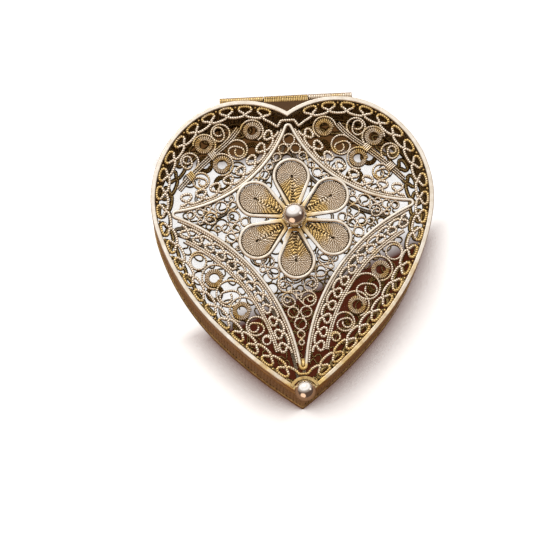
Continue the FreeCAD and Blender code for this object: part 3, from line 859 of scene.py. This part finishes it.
def build_lid_wires():
    """Every wire of the lid."""
    add_wires("lid_border_wire", strands("lid_border", border_tone, THICK_WIRE), "lid_border")
    for node, level, fullness in (("lid_upper_meander", 0.16, THICK_WIRE),
                                  ("lid_lower_meander", 0.14, THICK_WIRE),
                                  ("lid_lower_edging", 0.20, LOOSE_WIRE),
                                  ("lid_star_beading", 0.05, LOOSE_WIRE),
                                  ("lid_spray_stems", 0.35, STEM_WIRE)):
        add_wires(node + "_wire", strands(node, plain(level), fullness), node)
    upper = vine_scrolls("lid_upper_scrolls", "lid_spray_stems", 1.1, plain(0.42))
    add_wires("lid_upper_scroll_wires", upper, "lid_upper_scrolls")
    lower = vine_scrolls("lid_lower_scrolls", "lid_lower_edging", 1.3, plain(0.34))
    add_wires("lid_lower_scroll_wires", lower, "lid_lower_scrolls")
    star = scrolls("lid_star_scrolls", plain(0.32), FINE_WIRE)
    add_wires("lid_star_scroll_wires", star, "lid_star_scrolls")
    add_wires("lid_rosette_coils", rosettes("lid_rosettes", plain(0.50)), "lid_rosettes")
    add_wires("lid_border_grains", granules())
    add_wires("lid_star_solder", star_solder())
    add_wires("lid_apex_arch", apex_arch())
    add_wires("lid_foot_bow", foot_bow())


def build_floor_wires():
    """Every wire of the base's floor, with a simpler section."""
    coarse = {"section": FLOOR_SECTION, "per_bead": 4}
    gilt = plain(1.0)
    shapes = {
        "base_floor_border": strands("base_floor_border", gilt, BROAD_WIRE, **coarse),
        "base_floor_meanders": strands("base_floor_meanders", gilt, THIN_WIRE, **coarse),
        "base_floor_scrolls": scrolls("base_floor_scrolls", gilt, THIN_WIRE, **coarse),
        "base_floor_star_scrolls": scrolls("base_floor_star_scrolls", gilt, THIN_WIRE, **coarse),
        "base_floor_rosettes": rosettes("base_floor_rosettes", gilt),
    }
    for node, shape in shapes.items():
        shape.piece(node + "_wire", "base", "gilt", FLOOR_WIRE, node)


def build_collars():
    """Ribbed bindings: wire wrapped aslant round the bundled stems."""
    low, high = heights("lid_spray_bindings")
    stems = strand_centres("lid_spray_stems")
    shape = Shape()
    for outline in top_outlines("lid_spray_bindings"):
        corners = outline[np.argsort(-corner_sharpness(outline))[:4]]
        centre = corners.mean(axis=0)
        growth = growth_at(nearest_line(stems, centre), centre)[1]
        across = np.array([-growth[1], growth[0]])
        half_length = np.abs((corners - centre) @ growth).max() * COLLAR_REACH
        half_width = np.abs((corners - centre) @ across).max()
        turns = round(2 * half_length / COLLAR_PITCH)
        to_side = across * half_width + growth * COLLAR_PITCH * COLLAR_LEAN
        for k in range(turns):
            middle = centre + growth * half_length * (2 * (k + 0.5) / turns - 1)
            beaded_wire(shape, np.array([middle - to_side, middle + to_side]), low - COLLAR_DROP,
                        high + COLLAR_RISE, COLLAR_PITCH * 0.98, plain(0.55),
                        bead=2 * half_width, phase=np.zeros(2), per_bead=COLLAR_ROWS)
    add_wires("lid_spray_collars", shape, "lid_spray_bindings")


# ---------------------------------------------------------------- petals

COIL_PITCH = 0.27  # between turns; a petal holds as many whole turns as fit
COIL_STEP = 0.24  # along the wire, of five rows of points
COIL_POINTS = 220  # of the path, in each turn
EYE_SIZE = 1.5  # widest a petal's round eye can be
RIDGES = ((2.0, 46), (1.2, 30), (0.6, 18), (0.0, 10))  # (from this radius, rays per turn)


def petal_path(outline, eye, start):
    """Coil that fills an outline: every turn is a smaller copy of it, shrunk about the eye.

    Returns the plan points, the bead count at each and the distance between turns.
    """
    offset = outline - eye
    angles = (np.arctan2(offset[:, 1], offset[:, 0]) - start) % (2 * math.pi)
    order = np.argsort(angles)
    reach = np.linalg.norm(offset, axis=1)[order]
    head = reach.min()
    turns = int(head / COIL_PITCH)
    turn = np.linspace(0, turns, turns * COIL_POINTS)
    angle = 2 * math.pi * turn
    # The first turn runs half a pitch inside the outline, the last most of one from the eye.
    scale = 1 - (0.5 + turn * (1 - 1.3 / turns)) / turns
    radius = np.interp(angle % (2 * math.pi), angles[order], reach, period=2 * math.pi) * scale
    rays = np.zeros(len(turn))
    for from_radius, count in RIDGES[::-1]:
        rays[head * (1 - np.floor(turn) / turns) >= from_radius] = count
    steps = np.diff(rays * (turn % 1.0))
    beads = np.concatenate([[0.0], np.cumsum(np.where(steps < 0, 0, steps))])
    return polar(eye, radius, angle + start), beads, head / turns


def petal_tone(eye, inward):
    """Tone that rises from a petal's eye towards the flower's centre."""
    def tone(x, y):
        depth = (x - eye[0]) * inward[0] + (y - eye[1]) * inward[1]
        return np.clip(0.16 + 0.26 * depth, 0.05, 0.9)
    return tone


def build_petals():
    """A coil of fine wire in each petal, on a thin gilt back."""
    low, high = heights("petal_coils")
    outlines = top_outlines("petal_coils")
    eyes = [circle_of(outline)[0] for outline in outlines if breadth(outline) < EYE_SIZE]
    fillings = [outline for outline in outlines if breadth(outline) > EYE_SIZE]
    for number, outline in enumerate(fillings):
        outline = subdivided(outline, 0.05, closed=True)
        eye = min(eyes, key=lambda place: math.dist(place, outline.mean(axis=0)))
        inward = np.array(FLOWER) - eye
        path, beads, pitch = petal_path(outline, eye, math.atan2(inward[1], inward[0]))
        shape = Shape()
        # The gilt back gets grime and painted shade where it shows between the turns, and so do the
        # coil's grooves.
        back = np.column_stack([outline, np.full(len(outline), low)])
        shape.add(back, [tuple(range(len(outline)))], 1.0, 0.8)
        beaded_wire(shape, path, low, high, pitch, petal_tone(eye, inward / np.linalg.norm(inward)),
                    bead=COIL_STEP, phase=beads, per_bead=5, section=COIL_SECTION, slant=0.15,
                    gap=RIDGE_GAP, groove_shade_and_grime=0.9, edge_shade_and_grime=0.0)
        add_wires(f"petal_coil_{number + 1}", shape, *([] if number else ["petal_coils"]))


# ---------------------------------------------------------------- balls, hinge and CAD pieces

BARREL_RIDGE = 0.30  # from ridge to ridge
BARREL_SKIN = 0.05  # by which the ridges stand over the CAD knuckle
RIDGE_HEIGHT = 0.14  # over the barrel's radius
RIDGE_FULLNESS = 0.7  # the smaller, the rounder the ridges and the sharper the gaps
RIDGE_POINTS = 8  # along each ridge
BARREL_SIDES = 48
BALL_SIDES = 72


def build_balls():
    """Polished balls in place of the CAD balls."""
    for node in ("flower_ball", "thumb_ball"):
        low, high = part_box(node)
        radius = (high.x - low.x) / 2 / MM
        shape = Shape()
        profile = ball_profile(high.z / MM - radius, radius, low.z / MM)
        revolved(shape, middle_of(node), profile, BALL_SIDES)
        shape.piece(node + "_turned", "lid", "bright_silver", BALL, node)


def dress(node, material, bevel=0.0):
    """Give a CAD node its material and soften its edges."""
    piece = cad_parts[node]
    for slot in piece.material_slots:
        slot.material = material
    if not piece.material_slots:
        piece.data.materials.append(material)
    if bevel:
        weld = piece.modifiers.new("weld", "WELD")
        weld.merge_threshold = 0.001 * MM
        soften = piece.modifiers.new("bevel", "BEVEL")
        soften.width = bevel * MM
        soften.segments = 3
        soften.limit_method = "ANGLE"
        soften.angle_limit = math.radians(45)
        soften.harden_normals = True


def ribbed_barrel(node, body, gilding, leaf=False):
    """Ridged sleeve over a knuckle of the hinge, and over the leaf in front of it."""
    low, high = (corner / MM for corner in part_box(node))
    pin_low, pin_high = (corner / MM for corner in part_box("hinge_pin"))
    axis_y = (pin_low.y + pin_high.y) / 2
    axis_z = (pin_low.z + pin_high.z) / 2
    radius = high.y - axis_y + BARREL_SKIN
    ridges = round((high.x - low.x) / BARREL_RIDGE)
    along = np.linspace(0, 1, ridges * RIDGE_POINTS + 1)
    ridge = np.abs(np.sin(math.pi * ridges * along)) ** RIDGE_FULLNESS
    angles = np.linspace(0, 2 * math.pi, BARREL_SIDES, endpoint=False)
    reach = np.full(BARREL_SIDES, radius)
    if leaf:
        front = (angles > math.pi / 2) & (angles < math.pi)
        leaf_top = high.z - axis_z + BARREL_SKIN
        leaf_depth = axis_y - low.y + BARREL_SKIN
        reach[front] = np.minimum(leaf_top / np.sin(angles[front]),
                                  leaf_depth / -np.cos(angles[front]))
    radii = reach - RIDGE_HEIGHT * radius * (1 - ridge[:, None])
    x = low.x + (high.x - low.x) * along[:, None]
    points = np.stack([np.broadcast_to(x, radii.shape), axis_y + radii * np.cos(angles),
                       axis_z + radii * np.sin(angles)], -1)
    shape = Shape()
    # Grooves between the ridges get grime and painted shade.
    shape.add(points, tube_faces(len(along), BARREL_SIDES), gilding,
              np.repeat(1 - ridge, BARREL_SIDES))
    shape.piece(node + "_ribs", body, "gilt", WIRE)


def build_cad_pieces():
    """Materials of the nodes that keep their CAD shape."""
    for node, material, bevel in (("lid_rim", RIM, 0.16),
                                  ("lid_star_frame", FRAME_SILVER, 0.2),
                                  ("petal_frames", PETAL_SILVER, 0.2),
                                  ("thumb_ball_strap", GILT, 0.05),
                                  ("flower_boss", GILT, 0.05),
                                  ("lid_hinge_plate", PLATE_PATINA_AND_SHADE, 0.0),
                                  ("lid_hinge_knuckle", PLATE_PATINA_AND_SHADE, 0.0),
                                  ("base_hinge_plate", PLATE_PATINA_AND_SHADE, 0.0),
                                  ("base_hinge_knuckle_left", DARK_GILT, 0.0),
                                  ("base_hinge_knuckle_right", DARK_GILT, 0.0),
                                  ("hinge_pin", DARK_GILT, 0.0),
                                  ("base_floor_star", DARK_GILT, 0.0),
                                  ("base_bottom_rail", GILT, 0.1),
                                  ("base_top_rail", RAIL_GILT, 0.1),
                                  ("base_wall", WALL_GILT, 0.0)):
        dress(node, material, bevel)
    ribbed_barrel("base_hinge_knuckle_left", "base", 0.95)
    ribbed_barrel("base_hinge_knuckle_right", "base", 0.35)
    ribbed_barrel("lid_hinge_knuckle", "lid", 0.95, leaf=True)


# ---------------------------------------------------------------- studio

FLOOR_GLOW = 0.80  # of the open floor
FLOOR_SIZE = 3.0  # metres
SHADE_REACH = 0.025  # metres that the floor looks up for what shades it
GLOW_SLOPE = (-0.0070, -0.0030)  # metres along Y, over which the glow rises under the box
GLOW_SLANT = 0.40  # how far that edge climbs in Y along X
GLOW_TOP = (0.0170, 0.0195)  # metres along Y, over which the glow falls again
PAPER = (0.90, 0.90, 0.90)
PAPER_SHADE = (0.86, 0.86, 0.86)
GLOW_TINT = (1.0, 0.99, 0.98)
DEEP_SHADE = (0.080, 0.016, 0.006)  # the floor under the box's tip
BACK_SHADE = (0.125, 0.056, 0.018)  # the floor under the box's hinge
BOUNCE = (0.34, 0.19, 0.10)  # what the metal sees below itself: dim warm light, as off a hand

# Studio tent: bright overhead and behind the box, dark towards its tip and the horizon.
SKY_AXIS = (-0.15, 0.72, 0.67)
SKY = ((0.10, (0.09, 0.055, 0.040)), (0.45, (0.36, 0.31, 0.27)), (0.72, (0.90, 0.89, 0.88)))
SKY_STRENGTH = 1.18

# Lights: (name, place in metres, size in metres, watts, colour).
LIGHTS = (("key", (-0.12, 0.36, 0.33), 0.26, 0.50, (1.0, 0.98, 0.95)),
          ("fill", (0.40, 0.05, 0.30), 0.20, 0.08, (1.0, 0.95, 0.90)),
          ("warm", (-0.18, -0.38, 0.15), 0.40, 0.40, (1.0, 0.70, 0.48)))

# Viewing angle: degrees from straight above towards the tip, then towards -X, then roll.
CAMERA_TILT = 14.0
CAMERA_SIDE = 1.74
CAMERA_ROLL = -3.41
CAMERA_DISTANCE = 300.0
CAMERA_AIM = (-4.97, -3.56)  # on the plane of the lid's top
CAMERA_LENS = 124.4  # on the default 36 mm sensor


def floor_material():
    """Pale sheet that glows for the camera, warm and dim where the box stands over it."""
    tree = Tree("studio_sheet")
    paper = tree.mix(tree.noise(9.0, 2.0), PAPER, PAPER_SHADE)
    lit = tree.ramp(tree.openness(SHADE_REACH, 8), 0.48, 0.78)
    x, y = tree.place_xy()
    rise = tree.ramp(tree.maths("SUBTRACT", y, tree.maths("MULTIPLY", x, GLOW_SLANT)), *GLOW_SLOPE)
    fall = tree.ramp(y, *GLOW_TOP)
    lit = tree.maths("MAXIMUM", lit, tree.maths("SUBTRACT", rise, fall, clamp=True))
    shade = tree.mix(fall, DEEP_SHADE, BACK_SHADE)
    seen = tree.nodes.new("ShaderNodeLightPath").outputs["Is Camera Ray"]
    tree.surface(base_color=tree.mix(seen, BOUNCE, tree.mix(lit, shade, paper)),
                 roughness=0.9,
                 emission_color=tree.mix(lit, shade, GLOW_TINT),
                 emission_strength=tree.ramp(seen, 0.0, 1.0, 0.0, FLOOR_GLOW))
    return tree.material


def build_floor():
    """Pale floor under the box."""
    bpy.ops.mesh.primitive_plane_add(size=FLOOR_SIZE, location=(0, 0, 0))
    floor = bpy.context.object
    floor.name = "studio_floor"
    floor.data.materials.append(floor_material())


def build_lights():
    """Soft lights that look at the box."""
    for name, place, size, power, colour in LIGHTS:
        light = bpy.data.lights.new(name, "AREA")
        light.shape = "DISK"
        light.size = size
        light.energy = power
        light.color = colour
        lamp = bpy.data.objects.new(name, light)
        lamp.location = place
        lamp.rotation_euler = Vector(place).to_track_quat("Z", "Y").to_euler()
        bpy.context.scene.collection.objects.link(lamp)


def build_world():
    """Studio tent round the box."""
    world = bpy.data.worlds.new("studio")
    bpy.context.scene.world = world
    world.use_nodes = True
    nodes = world.node_tree.nodes
    links = world.node_tree.links
    facing = nodes.new("ShaderNodeVectorMath")
    facing.operation = "DOT_PRODUCT"
    facing.inputs[1].default_value = Vector(SKY_AXIS).normalized()
    links.new(nodes.new("ShaderNodeTexCoord").outputs["Generated"], facing.inputs[0])
    ramp = nodes.new("ShaderNodeValToRGB")
    ramp.color_ramp.interpolation = "EASE"
    stops = ramp.color_ramp.elements
    stops.new(0.5)
    for stop, (position, colour) in zip(stops, SKY):
        stop.color = (*colour, 1)
        stop.position = position
    links.new(facing.outputs["Value"], ramp.inputs["Fac"])
    links.new(ramp.outputs["Color"], nodes["Background"].inputs["Color"])
    nodes["Background"].inputs["Strength"].default_value = SKY_STRENGTH


def build_camera():
    """Camera at the photograph's viewing angle."""
    tilt, side, roll = (math.radians(angle) for angle in (CAMERA_TILT, CAMERA_SIDE, CAMERA_ROLL))
    back = Vector((-math.sin(side), -math.sin(tilt) * math.cos(side),
                   math.cos(tilt) * math.cos(side)))
    aim = Vector((*CAMERA_AIM, LID_TOP))
    right = Vector((0, 1, 0)).cross(back).normalized()
    up = back.cross(right)
    rolled_right = right * math.cos(roll) + up * math.sin(roll)
    rolled_up = up * math.cos(roll) - right * math.sin(roll)
    camera = bpy.data.objects.new("camera", bpy.data.cameras.new("camera"))
    camera.data.lens = CAMERA_LENS
    camera.data.clip_start = 0.01
    camera.data.clip_end = 10.0
    facing = Matrix((rolled_right, rolled_up, back)).transposed().to_4x4()
    camera.matrix_world = Matrix.Translation((aim + back * CAMERA_DISTANCE) * MM) @ facing
    bpy.context.scene.collection.objects.link(camera)
    bpy.context.scene.camera = camera


build_lid_wires()
build_floor_wires()
build_collars()
build_petals()
build_balls()
build_cad_pieces()
build_floor()
build_world()
build_lights()
bpy.context.scene.view_settings.view_transform = "Standard"
build_camera()
